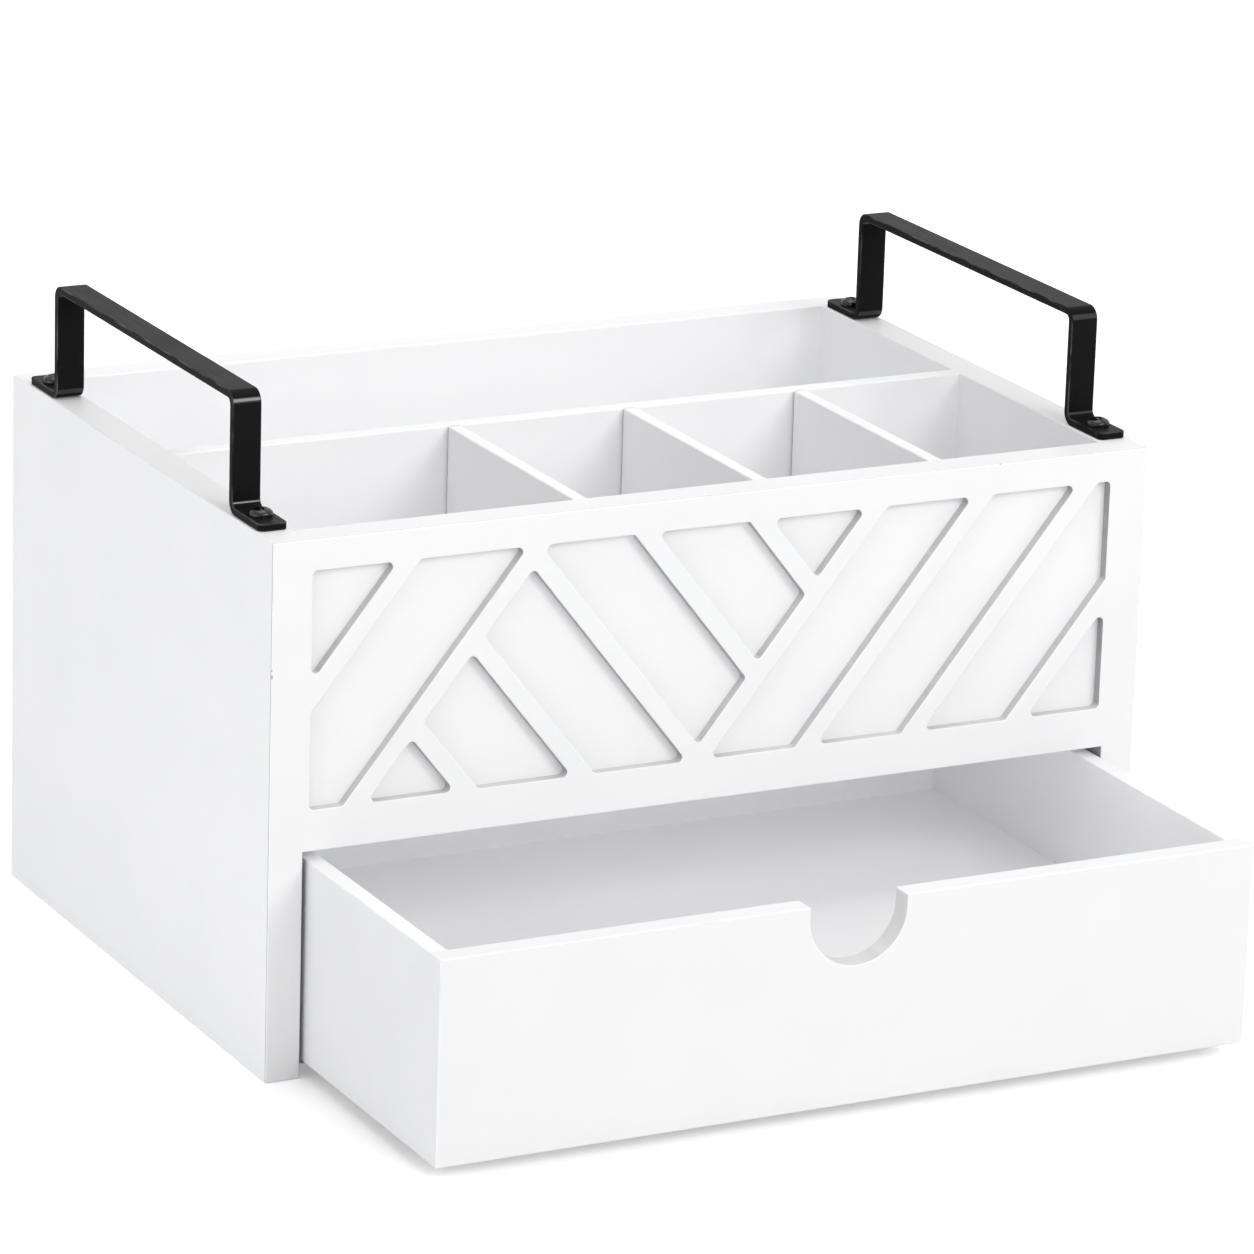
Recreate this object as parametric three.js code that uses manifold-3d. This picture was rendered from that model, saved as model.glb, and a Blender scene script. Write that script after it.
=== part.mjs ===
// Utensil caddy with a drawer
//
// A painted wooden box for the kitchen worktop. Above, a long divider and three cross dividers
// make one long rear compartment and four front ones. Below, a drawer with a finger notch slides
// on the base panel. The front board is routed with a lattice of slanting slats, and a bent
// flat-bar handle is screwed to the top edge of each side panel.
//
// Lengths are in millimetres, Z is up and the front faces -Y. The origin is the centre of the
// base, on the surface that the caddy stands on. The drawer is pulled out as in use.

import * as THREE from 'three';
import { mergeVertices } from 'three/addons/utils/BufferGeometryUtils.js';
import Module from 'manifold-3d';

const wasm = await Module();
wasm.setup();

// Cabinet
const cabinetWidth = 320;
const cabinetDepth = 220;
const cabinetHeight = 181;
const boardThickness = 12;
const openingHeight = 77;
const baseThickness = 5;
const trayFloorThickness = 5;
const trayFloorRise = 3;
const housingDepth = 4;
const housingClearance = 0.3;

// Dividers of the upper tray
const longDividerThickness = 6;
const crossDividerThickness = 5;
const rearCompartmentDepth = 95;
const wideCompartmentWidth = 99;
const narrowCompartmentNames = ['left', 'middle', 'right'];

// Routed lattice of the front board
const fieldSideMargin = 14;
const fieldTopMargin = 10.5;
const fieldBottomMargin = 14;
const pocketDepth = 3.6;
const cutterRadius = 1.6;
const slatWidth = 6.5;
const slatRiseShare = 1.25;
const cornerSlatSpacing = 45.9;
const leftSlatFoot = 15.9;
const zigzagFoot = 139.5;
const risingSlatPitch = 40.1;
const counterSlatPitch = 42;
const counterSlatsEachSide = 2;

// Drawer
const drawerExtension = 100;
const drawerSideGap = 1.5;
const drawerTopGap = 3;
const drawerRearGap = 3;
const runningGap = 0.3;
const drawerFrontThickness = 8;
const drawerBoardThickness = 6;
const drawerFloorThickness = 3;
const drawerInsideDepth = 42;
const drawerGrooveDepth = 3;
const notchRadius = 17.5;
const notchStraight = 4;

// Handles and their screws
const stripWidth = 10;
const stripThickness = 2.5;
const handleHeight = 40;
const handleEndInset = 13;
const footLength = 22;
const bendRadius = 2;
const footCornerRadius = 2;
const screwInset = 10;
const screwLength = 16;
const screwTipLength = 3;
const shankRadius = 1.5;
const shankClearance = 0.3;
const headRadius = 3.8;
const headHeight = 2.8;
const headRim = 0.9;
const recessLength = 4.4;
const recessWidth = 1;
const recessDepth = 1.5;

// Facets, and how far a cut runs past the face that it opens
const cornerFacets = 6;
const bendFacets = 6;
const notchFacets = 18;
const turnedFacets = 32;
const domeFacets = 6;
const overrun = 1;

// Places that follow from the sizes above
const left = -cabinetWidth / 2;
const front = -cabinetDepth / 2;
const innerWidth = cabinetWidth - 2 * boardThickness;
const innerLeft = left + boardThickness;
const innerFront = front + boardThickness;
const innerRear = -front - boardThickness;
const innerDepth = innerRear - innerFront;
const trayFloorBottom = openingHeight + trayFloorRise;
const trayFloorTop = trayFloorBottom + trayFloorThickness;
const dividerHeight = cabinetHeight - trayFloorTop;
const housedWidth = innerWidth + 2 * (housingDepth - housingClearance);
const housedLeft = innerLeft - housingDepth + housingClearance;
const longDividerFront = innerRear - rearCompartmentDepth - longDividerThickness;

const paint = { color: 0xf2f2f4, roughness: 0.5, metalness: 0 };
const innerPaint = { color: 0xeeeeef, roughness: 0.55, metalness: 0 };
const blackMetal = { color: 0x141415, roughness: 0.42, metalness: 0.6 };
const screwMetal = { color: 0x101011, roughness: 0.35, metalness: 0.7 };

// A box with its lowest corner at the origin.
function box(width, depth, height) {
  const geometry = new THREE.BoxGeometry(width, depth, height);
  return geometry.translate(width / 2, depth / 2, height / 2);
}

// A shape drawn in X and Z, given its thickness along Y.
function uprightPrism(shape, thickness, facets) {
  const geometry = new THREE.ExtrudeGeometry(shape, {
    depth: thickness, bevelEnabled: false, curveSegments: facets,
  });
  return geometry.rotateX(Math.PI / 2).translate(0, thickness, 0);
}

// A shape drawn in Y and Z, given its width along X.
function sidewaysPrism(shape, width, facets) {
  const geometry = new THREE.ExtrudeGeometry(shape, {
    depth: width, bevelEnabled: false, curveSegments: facets,
  });
  const turn = new THREE.Matrix4().makeBasis(
    new THREE.Vector3(0, 1, 0),
    new THREE.Vector3(0, 0, 1),
    new THREE.Vector3(1, 0, 0),
  );
  return geometry.applyMatrix4(turn);
}

// A shape drawn in X and Y, given its height along Z.
function flatPrism(shape, height, facets) {
  return new THREE.ExtrudeGeometry(shape, {
    depth: height, bevelEnabled: false, curveSegments: facets,
  });
}

// A round bar that stands on the origin.
function post(radius, height) {
  const geometry = new THREE.CylinderGeometry(radius, radius, height, turnedFacets);
  return geometry.rotateX(Math.PI / 2).translate(0, 0, height / 2);
}

function toSolid(geometry) {
  const bare = geometry.clone();
  bare.deleteAttribute('normal');
  bare.deleteAttribute('uv');
  const merged = mergeVertices(bare);
  return new wasm.Manifold(new wasm.Mesh({
    numProp: 3,
    vertProperties: new Float32Array(merged.getAttribute('position').array),
    triVerts: new Uint32Array(merged.getIndex().array),
  }));
}

function toGeometry(solid) {
  const mesh = solid.getMesh();
  const geometry = new THREE.BufferGeometry();
  geometry.setAttribute('position', new THREE.BufferAttribute(mesh.vertProperties, 3));
  geometry.setIndex(new THREE.BufferAttribute(mesh.triVerts, 1));
  geometry.computeVertexNormals();
  return geometry;
}

function cutFrom(geometry, cutters) {
  let solid = toSolid(geometry);
  for (const cutter of cutters) {
    solid = solid.subtract(toSolid(cutter));
  }
  return toGeometry(solid);
}

function piece(name, geometry, finish, x, y, z) {
  const mesh = new THREE.Mesh(geometry, new THREE.MeshStandardMaterial(finish));
  mesh.name = name;
  mesh.position.set(x, y, z);
  return mesh;
}

// Lattice of the front board
//
// The slats divide a rectangular field into pockets. A slat is given by its foot, the place where
// its centre line meets the field's lower edge, and by its lean: 1 where it rises to the right,
// -1 where it rises to the left. Each side of it is a half-plane: the points whose distance along
// the normal is at least the reach.
function slatSides(foot, lean) {
  const normal = new THREE.Vector2(slatRiseShare, -lean).normalize();
  const centre = normal.x * foot;
  return {
    rightOf: { normal, reach: centre + slatWidth / 2 },
    leftOf: { normal: normal.clone().negate(), reach: slatWidth / 2 - centre },
  };
}

// The gaps that a row of slats leaves: before the first, between neighbours and after the last.
function gapsBetween(slats) {
  const gaps = slats.slice(1).map((slat, index) => [slats[index].rightOf, slat.leftOf]);
  return [[slats[0].leftOf], ...gaps, [slats.at(-1).rightOf]];
}

function clip(outline, side) {
  const kept = [];
  outline.forEach((point, index) => {
    const next = outline[(index + 1) % outline.length];
    const here = side.normal.dot(point) - side.reach - cutterRadius;
    const there = side.normal.dot(next) - side.reach - cutterRadius;
    if (here >= 0) {
      kept.push(point);
    }
    if (here * there < 0) {
      kept.push(point.clone().lerp(next, here / (here - there)));
    }
  });
  return kept;
}

function outwardAngle(from, to) {
  return Math.atan2(to.y - from.y, to.x - from.x) - Math.PI / 2;
}

// The pocket that a round cutter leaves when its centre follows the path, a convex outline.
function routedShape(path) {
  const shape = new THREE.Shape();
  path.forEach((corner, index) => {
    const before = path.at(index - 1);
    const after = path[(index + 1) % path.length];
    const start = outwardAngle(before, corner);
    const end = outwardAngle(corner, after);
    shape.absarc(corner.x, corner.y, cutterRadius, start, end, false);
  });
  return shape;
}

function pocketShapes(fieldWidth, fieldHeight) {
  const risingFeet = [leftSlatFoot - cornerSlatSpacing, leftSlatFoot];
  for (let foot = zigzagFoot; foot < fieldWidth; foot += risingSlatPitch) {
    risingFeet.push(foot);
  }
  const counterFeet = [];
  for (let step = -counterSlatsEachSide; step <= counterSlatsEachSide; step += 1) {
    counterFeet.push(zigzagFoot + step * counterSlatPitch);
  }
  const risingGaps = gapsBetween(risingFeet.map((foot) => slatSides(foot, 1)));
  const counterGaps = gapsBetween(counterFeet.map((foot) => slatSides(foot, -1)));

  // The counter slats fill only the gap between the left slat and the zigzag's foot.
  const zigzagGap = risingGaps[risingFeet.indexOf(zigzagFoot)];
  const cells = risingGaps.flatMap((gap) => {
    return gap === zigzagGap ? counterGaps.map((inner) => [...gap, ...inner]) : [gap];
  });

  const fieldPath = [
    new THREE.Vector2(cutterRadius, cutterRadius),
    new THREE.Vector2(fieldWidth - cutterRadius, cutterRadius),
    new THREE.Vector2(fieldWidth - cutterRadius, fieldHeight - cutterRadius),
    new THREE.Vector2(cutterRadius, fieldHeight - cutterRadius),
  ];
  const paths = cells.map((sides) => sides.reduce(clip, fieldPath));
  const open = paths.filter((path) => path.length > 2 && THREE.ShapeUtils.area(path) > 0);
  return open.map(routedShape);
}

// Cabinet pieces

// The front board covers the ends of the side panels, with a leg at each side of the opening.
function frontBoard() {
  const outline = new THREE.Shape();
  outline.moveTo(0, 0);
  outline.lineTo(boardThickness, 0);
  outline.lineTo(boardThickness, openingHeight);
  outline.lineTo(cabinetWidth - boardThickness, openingHeight);
  outline.lineTo(cabinetWidth - boardThickness, 0);
  outline.lineTo(cabinetWidth, 0);
  outline.lineTo(cabinetWidth, cabinetHeight);
  outline.lineTo(0, cabinetHeight);
  outline.closePath();

  const fieldBottom = openingHeight + fieldBottomMargin;
  const fieldWidth = cabinetWidth - 2 * fieldSideMargin;
  const fieldHeight = cabinetHeight - fieldTopMargin - fieldBottom;
  const cutters = pocketShapes(fieldWidth, fieldHeight).map((shape) => {
    const pocket = uprightPrism(shape, pocketDepth + overrun, cornerFacets);
    return pocket.translate(fieldSideMargin, -overrun, fieldBottom);
  });
  const board = cutFrom(uprightPrism(outline, boardThickness, cornerFacets), cutters);
  return piece('front_board', board, paint, left, front, 0);
}

// A side panel stands behind the front board. Its inner face has a housing for the tray floor,
// stopped at the back panel, and a rebate for the base. Its top edge is drilled for the screws.
function sidePanel(name, x, innerFaceX) {
  const depth = cabinetDepth - boardThickness;
  const housingX = innerFaceX === 0 ? -overrun : boardThickness - housingDepth;
  const housingWidth = housingDepth + overrun;
  const housing = box(housingWidth, innerDepth + overrun, trayFloorThickness);
  housing.translate(housingX, -overrun, trayFloorBottom);
  const rebate = box(housingWidth, depth + 2 * overrun, baseThickness + overrun);
  rebate.translate(housingX, -overrun, -overrun);

  const holeDepth = screwLength - stripThickness + shankClearance;
  const holes = screwPlaces().map((y) => {
    const hole = post(shankRadius + shankClearance, holeDepth + overrun);
    return hole.translate(boardThickness / 2, y - innerFront, cabinetHeight - holeDepth);
  });
  const panel = cutFrom(box(boardThickness, depth, cabinetHeight), [housing, rebate, ...holes]);
  return piece(name, panel, paint, x, innerFront, 0);
}

function backPanel() {
  const panel = box(innerWidth, boardThickness, cabinetHeight - baseThickness);
  return piece('back_panel', panel, paint, innerLeft, innerRear, baseThickness);
}

function basePanel() {
  const panel = box(housedWidth, innerDepth + boardThickness, baseThickness);
  return piece('base_panel', panel, innerPaint, housedLeft, innerFront, 0);
}

function trayFloor() {
  const panel = box(housedWidth, innerDepth, trayFloorThickness);
  return piece('tray_floor', panel, innerPaint, housedLeft, innerFront, trayFloorBottom);
}

function longDivider() {
  const panel = box(innerWidth, longDividerThickness, dividerHeight);
  return piece('long_divider', panel, innerPaint, innerLeft, longDividerFront, trayFloorTop);
}

// The wide compartment is at the left, and equal narrow ones fill the rest.
function crossDividers() {
  const count = narrowCompartmentNames.length;
  const spare = innerWidth - wideCompartmentWidth - count * crossDividerThickness;
  const pitch = spare / count + crossDividerThickness;
  const panel = box(crossDividerThickness, longDividerFront - innerFront, dividerHeight);
  return narrowCompartmentNames.map((name, index) => {
    const x = innerLeft + wideCompartmentWidth + index * pitch;
    return piece(`${name}_cross_divider`, panel, innerPaint, x, innerFront, trayFloorTop);
  });
}

// Drawer pieces, in the frame of the drawer: its lowest left corner at the front is the origin

const drawerWidth = innerWidth - 2 * drawerSideGap;
const drawerDepth = innerRear - front - drawerRearGap;
const drawerHeight = openingHeight - baseThickness - runningGap - drawerTopGap;
const drawerInnerWidth = drawerWidth - 2 * drawerBoardThickness;
const drawerSideLength = drawerDepth - drawerFrontThickness;
const drawerBackY = drawerDepth - drawerBoardThickness;
const drawerFloorZ = drawerHeight - drawerInsideDepth - drawerFloorThickness;
const drawerGrooveY = drawerFrontThickness - drawerGrooveDepth;
const drawerGrooveLength = drawerBackY + drawerGrooveDepth - drawerGrooveY;

// The front has a finger notch in its top edge and a groove for the floor in its rear face.
function drawerFront() {
  const middle = drawerWidth / 2;
  const shoulder = drawerHeight - notchStraight;
  const outline = new THREE.Shape();
  outline.moveTo(0, 0);
  outline.lineTo(drawerWidth, 0);
  outline.lineTo(drawerWidth, drawerHeight);
  outline.lineTo(middle + notchRadius, drawerHeight);
  outline.absarc(middle, shoulder, notchRadius, 0, -Math.PI, true);
  outline.lineTo(middle - notchRadius, drawerHeight);
  outline.lineTo(0, drawerHeight);
  outline.closePath();

  const grooveLength = drawerInnerWidth + 2 * drawerGrooveDepth;
  const groove = box(grooveLength, drawerGrooveDepth + overrun, drawerFloorThickness);
  groove.translate(drawerBoardThickness - drawerGrooveDepth, drawerGrooveY, drawerFloorZ);
  const board = cutFrom(uprightPrism(outline, drawerFrontThickness, notchFacets), [groove]);
  return piece('drawer_front', board, paint, 0, 0, 0);
}

function drawerSide(name, x, grooveX) {
  const groove = box(drawerGrooveDepth + overrun, drawerGrooveLength, drawerFloorThickness);
  groove.translate(grooveX, drawerGrooveY - drawerFrontThickness, drawerFloorZ);
  const board = cutFrom(box(drawerBoardThickness, drawerSideLength, drawerHeight), [groove]);
  return piece(name, board, innerPaint, x, drawerFrontThickness, 0);
}

function drawerBack() {
  const groove = box(drawerInnerWidth + 2 * overrun, drawerGrooveDepth + overrun,
    drawerFloorThickness);
  groove.translate(-overrun, -overrun, drawerFloorZ);
  const board = cutFrom(box(drawerInnerWidth, drawerBoardThickness, drawerHeight), [groove]);
  return piece('drawer_back', board, innerPaint, drawerBoardThickness, drawerBackY, 0);
}

function drawerFloor() {
  const reach = drawerGrooveDepth - housingClearance;
  const panel = box(drawerInnerWidth + 2 * reach, drawerGrooveLength - 2 * housingClearance,
    drawerFloorThickness);
  return piece('drawer_floor', panel, innerPaint, drawerBoardThickness - reach,
    drawerGrooveY + housingClearance, drawerFloorZ);
}

function drawer() {
  const rightX = drawerWidth - drawerBoardThickness;
  const group = new THREE.Group();
  group.add(
    drawerFront(),
    drawerSide('drawer_left_side', 0, drawerBoardThickness - drawerGrooveDepth),
    drawerSide('drawer_right_side', rightX, -overrun),
    drawerBack(),
    drawerFloor(),
  );
  group.position.set(innerLeft + drawerSideGap, front - drawerExtension,
    baseThickness + runningGap);
  return group;
}

// Handles

const handleLength = cabinetDepth - 2 * handleEndInset;

function screwPlaces() {
  const frontPlace = front + handleEndInset + screwInset;
  return [frontPlace, -frontPlace];
}

// The side view of the bent strip, from the tip of the front foot to that of the rear foot.
function stripShape() {
  const outerRadius = bendRadius + stripThickness;
  const footBend = footLength - bendRadius;
  const topBend = footLength + outerRadius;
  const low = stripThickness + bendRadius;
  const high = handleHeight - outerRadius;
  const quarter = Math.PI / 2;
  const shape = new THREE.Shape();
  shape.moveTo(0, 0);
  shape.absarc(footBend, low, outerRadius, -quarter, 0, false);
  shape.absarc(topBend, high, bendRadius, 2 * quarter, quarter, true);
  shape.absarc(handleLength - topBend, high, bendRadius, quarter, 0, true);
  shape.absarc(handleLength - footBend, low, outerRadius, 2 * quarter, 3 * quarter, false);
  shape.lineTo(handleLength, 0);
  shape.lineTo(handleLength, stripThickness);
  shape.absarc(handleLength - footBend, low, bendRadius, 3 * quarter, 2 * quarter, true);
  shape.absarc(handleLength - topBend, high, outerRadius, 0, quarter, false);
  shape.absarc(topBend, high, outerRadius, quarter, 2 * quarter, false);
  shape.absarc(footBend, low, bendRadius, 0, -quarter, true);
  shape.lineTo(0, stripThickness);
  shape.closePath();
  return shape;
}

// The strip as cut from flat bar, seen from above, with the corners of its ends rounded.
function blankShape() {
  const near = footCornerRadius;
  const farX = stripWidth - footCornerRadius;
  const farY = handleLength - footCornerRadius;
  const quarter = Math.PI / 2;
  const shape = new THREE.Shape();
  shape.absarc(near, near, footCornerRadius, 2 * quarter, 3 * quarter, false);
  shape.absarc(farX, near, footCornerRadius, 3 * quarter, 4 * quarter, false);
  shape.absarc(farX, farY, footCornerRadius, 0, quarter, false);
  shape.absarc(near, farY, footCornerRadius, quarter, 2 * quarter, false);
  shape.closePath();
  return shape;
}

function handleGeometry() {
  const strip = toSolid(sidewaysPrism(stripShape(), stripWidth, bendFacets));
  const blank = flatPrism(blankShape(), handleHeight + 2 * overrun, bendFacets);
  const rounded = toGeometry(strip.intersect(toSolid(blank.translate(0, 0, -overrun))));
  const holes = [screwInset, handleLength - screwInset].map((y) => {
    const hole = post(shankRadius + shankClearance, stripThickness + 2 * overrun);
    return hole.translate(stripWidth / 2, y, -overrun);
  });
  return cutFrom(rounded, holes);
}

// A pan-head screw with a cross recess. The underside of its head is at the origin.
function screwGeometry() {
  const profile = [
    new THREE.Vector2(0, -screwLength),
    new THREE.Vector2(shankRadius, screwTipLength - screwLength),
    new THREE.Vector2(shankRadius, 0),
    new THREE.Vector2(headRadius, 0),
  ];
  for (let step = 0; step < domeFacets; step += 1) {
    const angle = (step / domeFacets) * (Math.PI / 2);
    const rise = headRim + (headHeight - headRim) * Math.sin(angle);
    profile.push(new THREE.Vector2(headRadius * Math.cos(angle), rise));
  }
  profile.push(new THREE.Vector2(0, headHeight));
  const screw = new THREE.LatheGeometry(profile, turnedFacets).rotateX(Math.PI / 2);
  const slot = box(recessLength, recessWidth, recessDepth + overrun);
  slot.translate(-recessLength / 2, -recessWidth / 2, headHeight - recessDepth);
  return cutFrom(screw, [slot, slot.clone().rotateZ(Math.PI / 2)]);
}

function handle(side, centreX) {
  const group = new THREE.Group();
  const strip = handleGeometry();
  const screw = screwGeometry();
  const ends = ['front', 'rear'];
  group.add(piece(`${side}_handle`, strip, blackMetal, -stripWidth / 2, front + handleEndInset, 0));
  screwPlaces().forEach((y, index) => {
    const name = `${side}_handle_${ends[index]}_screw`;
    group.add(piece(name, screw, screwMetal, 0, y, stripThickness));
  });
  group.position.set(centreX, 0, cabinetHeight);
  return group;
}

const caddy = new THREE.Group();
const rightPanelX = innerLeft + innerWidth;
const handleCentre = cabinetWidth / 2 - boardThickness / 2;
caddy.add(
  frontBoard(),
  sidePanel('left_side_panel', left, boardThickness),
  sidePanel('right_side_panel', rightPanelX, 0),
  backPanel(),
  basePanel(),
  trayFloor(),
  longDivider(),
  ...crossDividers(),
  drawer(),
  handle('left', -handleCentre),
  handle('right', handleCentre),
);

export default caddy;
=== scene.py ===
# %% [markdown]
# # A painted utensil caddy with a drawer
#
# This lesson dresses a small wooden box for kitchen utensils. Its solids are already made to size
# and stand in the scene as a fixed frame: boards, a routed front, a drawer, two bent handles and
# their screws. What is left to do is what makes it look real: softly eased edges, paint, powder
# coat, turned screws, soft light and the camera. Everything is in metres, and Z is up.

# %% Load the frame
from math import cos, degrees, pi, radians, sin

import bmesh
import bpy
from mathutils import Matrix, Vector
from mathutils.bvhtree import BVHTree


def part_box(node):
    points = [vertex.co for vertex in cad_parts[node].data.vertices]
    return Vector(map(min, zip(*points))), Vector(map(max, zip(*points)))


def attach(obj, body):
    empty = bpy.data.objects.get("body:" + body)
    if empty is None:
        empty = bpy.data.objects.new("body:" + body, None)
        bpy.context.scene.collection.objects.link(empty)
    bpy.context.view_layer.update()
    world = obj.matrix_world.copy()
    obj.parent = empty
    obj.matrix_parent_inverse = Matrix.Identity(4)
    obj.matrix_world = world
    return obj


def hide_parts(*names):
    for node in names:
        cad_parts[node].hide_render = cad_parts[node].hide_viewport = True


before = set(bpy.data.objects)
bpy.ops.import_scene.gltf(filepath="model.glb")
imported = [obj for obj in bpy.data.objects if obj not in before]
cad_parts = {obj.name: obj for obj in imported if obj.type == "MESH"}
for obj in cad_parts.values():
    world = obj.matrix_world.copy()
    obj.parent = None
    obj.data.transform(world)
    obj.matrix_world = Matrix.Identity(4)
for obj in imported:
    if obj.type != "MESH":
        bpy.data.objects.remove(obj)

scene = bpy.context.scene
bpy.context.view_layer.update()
MM = 1000


# %% [markdown]
# ## Camera
#
# The picture was taken with a long lens from a little above, to the left of the front. A long lens
# keeps the upright edges nearly parallel. The place and the turn below were worked out from the
# corners of the box, and the slight roll is that of the picture.

# %% Place the camera
SENSOR_WIDTH = 36
FOCAL_LENGTH = 190.25
NEAREST_SEEN = 0.1
FARTHEST_SEEN = 60
CAMERA_PLACE = (-0.9754, -1.9337, 0.7681)
CAMERA_TURN = (72.968, -1.713, -26.772)

camera_data = bpy.data.cameras.new("camera")
camera_data.sensor_width = SENSOR_WIDTH
camera_data.lens = FOCAL_LENGTH
camera_data.clip_start = NEAREST_SEEN
camera_data.clip_end = FARTHEST_SEEN
camera = bpy.data.objects.new("camera", camera_data)
camera.location = CAMERA_PLACE
camera.rotation_euler = [radians(angle) for angle in CAMERA_TURN]
scene.collection.objects.link(camera)
scene.camera = camera
print("camera is", round(camera.location.length, 3), "m from the middle of the base")

# %% [markdown]
# ## Writing materials as expressions
#
# Node trees get long when each sum is a node made by hand. The small class below wraps an output
# socket, so that `1 - mask` or `noise * 0.2` adds the Math node by itself.


# %% Signals
class Signal:
    """A number that a node gives, ready for sums."""

    def __init__(self, finish, socket):
        self.finish = finish
        self.socket = socket

    def math(self, operation, *values):
        """A Math node with the values in its sockets, one after the other."""
        sockets = dict(enumerate(values))
        return self.finish.node("ShaderNodeMath", {"operation": operation}, sockets)

    def __add__(self, other):
        return self.math("ADD", self, other)

    def __sub__(self, other):
        return self.math("SUBTRACT", self, other)

    def __rsub__(self, other):
        return self.math("SUBTRACT", other, self)

    def __mul__(self, other):
        return self.math("MULTIPLY", self, other)

    def __gt__(self, other):
        return self.math("GREATER_THAN", self, other)

    def at_least(self, other):
        """The greater of the two."""
        return self.math("MAXIMUM", self, other)

    __radd__ = __add__
    __rmul__ = __mul__


print("sums that a signal knows:", ["+", "-", "*", ">", "at_least"])

# %% [markdown]
# ## A finish
#
# The second class is a material, or a sky, with one method for every other node that is needed
# here. `node` makes any node from its type, its settings and its sockets, and the others are
# short names for common ones. A Mix node keeps its sockets for numbers, vectors and colours in
# one list, so the colour sockets are found by their numbers.

# %% Finishes
MIX_FACTOR, FIRST_COLOUR, SECOND_COLOUR = 0, 6, 7
MIXED_COLOUR = 2


class Finish:
    """A node tree that is written as expressions."""

    def __init__(self, owner):
        owner.use_nodes = True
        self.owner = owner
        self.tree = owner.node_tree

    def node(self, kind, settings=None, sockets=None, output=0):
        """Makes a node and returns one of its outputs."""
        made = self.tree.nodes.new(kind)
        for name, value in (settings or {}).items():
            setattr(made, name, value)
        self.feed(made, sockets or {})
        return Signal(self, made.outputs[output])

    def feed(self, node, sockets):
        """Links each signal to its socket, and sets a constant on the socket itself."""
        for name, value in sockets.items():
            if isinstance(value, Signal):
                self.tree.links.new(value.socket, node.inputs[name])
            else:
                node.inputs[name].default_value = value

    def place(self):
        """Where a point lies on the object, in metres."""
        return self.node("ShaderNodeTexCoord", output="Object")

    def attribute(self, name):
        """The number that a face carries under the name, 0 if it has none."""
        return self.node("ShaderNodeAttribute", {"attribute_name": name}, None, "Fac")

    def noise(self, place, scale, detail):
        """Soft random spots, mostly between 0.3 and 0.7."""
        sockets = {"Vector": place, "Scale": scale, "Detail": detail}
        return self.node("ShaderNodeTexNoise", None, sockets, "Fac")

    def stretched(self, place, scale):
        """The place scaled on each axis. A small scale draws a pattern out along that axis."""
        sockets = {"Vector": place, "Scale": scale}
        return self.node("ShaderNodeMapping", None, sockets)

    def step(self, value, low, high):
        """0 below low, 1 above high, and smooth between."""
        sockets = {"Value": value, "From Min": low, "From Max": high}
        return self.node("ShaderNodeMapRange", {"interpolation_type": "SMOOTHSTEP"}, sockets)

    def blend(self, under, over, mask):
        """One colour over another where the mask is 1."""
        sockets = {MIX_FACTOR: mask, FIRST_COLOUR: under, SECOND_COLOUR: over}
        return self.node("ShaderNodeMix", {"data_type": "RGBA"}, sockets, MIXED_COLOUR)

    def bump(self, height, depth):
        """A normal that leans as if the surface rose by the height times the depth in metres."""
        sockets = {"Height": height, "Distance": depth, "Strength": 1}
        return self.node("ShaderNodeBump", None, sockets)


print("a finish has", len([name for name in vars(Finish) if name[0] != "_"]), "methods")

# %% [markdown]
# ## Chips
#
# White paint on a box chips first at corners and edges, and the board shows through as a small
# dark spot. A chip could be modelled as a dent, but it is no deeper than the paint is thick. So it
# belongs to the paint: a place and a radius, with noise that makes its rim ragged.

# %% Chips in the paint
CHIP_RIM = (2500, 3)
ALWAYS_CHIPPED = 0.5
DRAWER_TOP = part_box("drawer_right_side")[1].z
CHIPS = [
    ((-0.1600, -0.1100, 0.1370), 0.0007),
    ((-0.1600, -0.1100, 0.1392), 0.0004),
    ((0.1030, -0.1100, 0.1810), 0.0004),
    ((0.1600, -0.1100, 0.0330), 0.0005),
    ((0.1400, -0.1925, DRAWER_TOP), 0.0005),
    ((0.1400, -0.1890, DRAWER_TOP), 0.0003),
]


def chip_mask(finish, place):
    """1 inside a chip, whose rim moves in and out with the noise."""
    ragged = finish.noise(place, *CHIP_RIM)
    mask = None
    for centre, radius in CHIPS:
        sockets = {0: place, 1: centre}
        away = finish.node("ShaderNodeVectorMath", {"operation": "DISTANCE"}, sockets, "Value")
        inside = (ragged * radius + radius * ALWAYS_CHIPPED) > away
        mask = inside if mask is None else mask.at_least(inside)
    return mask


print("chips:", len(CHIPS))

# %% [markdown]
# ## White paint
#
# The boards are sprayed with satin paint. Seen close, such paint isn't even: it has a fine orange
# peel, broad patches that are a little more or less matt, and a few specks of dust. On the eased
# edges it is thinner and rubbed. All patterns read Object coordinates in metres, so they have real
# sizes and run on from board to board.
#
# A pattern below is a scale and a detail. The scale counts its features along one metre, so 620
# gives a peel of about 1.6 mm. Between the two values of a RANGE a mask goes from 0 to 1.

# %% Colours and patterns of the paint
PAINT = (0.93, 0.93, 0.935, 1)
MATT_PAINT = (0.912, 0.913, 0.919, 1)
# Black, mixed in a little as painted shade on faces turned to the lamps.
DIMMING_BLACK = (0, 0, 0, 1)
# Brighter whites for the drawer's floor: painted light where little light reaches.
LIT_PANEL = (0.97, 0.97, 0.975, 1)
LIT_MATT_PANEL = (0.955, 0.956, 0.962, 1)
RUBBED_PAINT = (0.85, 0.85, 0.855, 1)
# A grey that stands in as painted shade on the walls of the pockets and cuts.
WALL_SHADE_GREY = (0.3, 0.3, 0.305, 1)
# Bare board for the chips, and the same dark as painted shade in the gaps.
BARE_BOARD_AND_GAP_SHADE = (0.5, 0.48, 0.46, 1)

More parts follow.
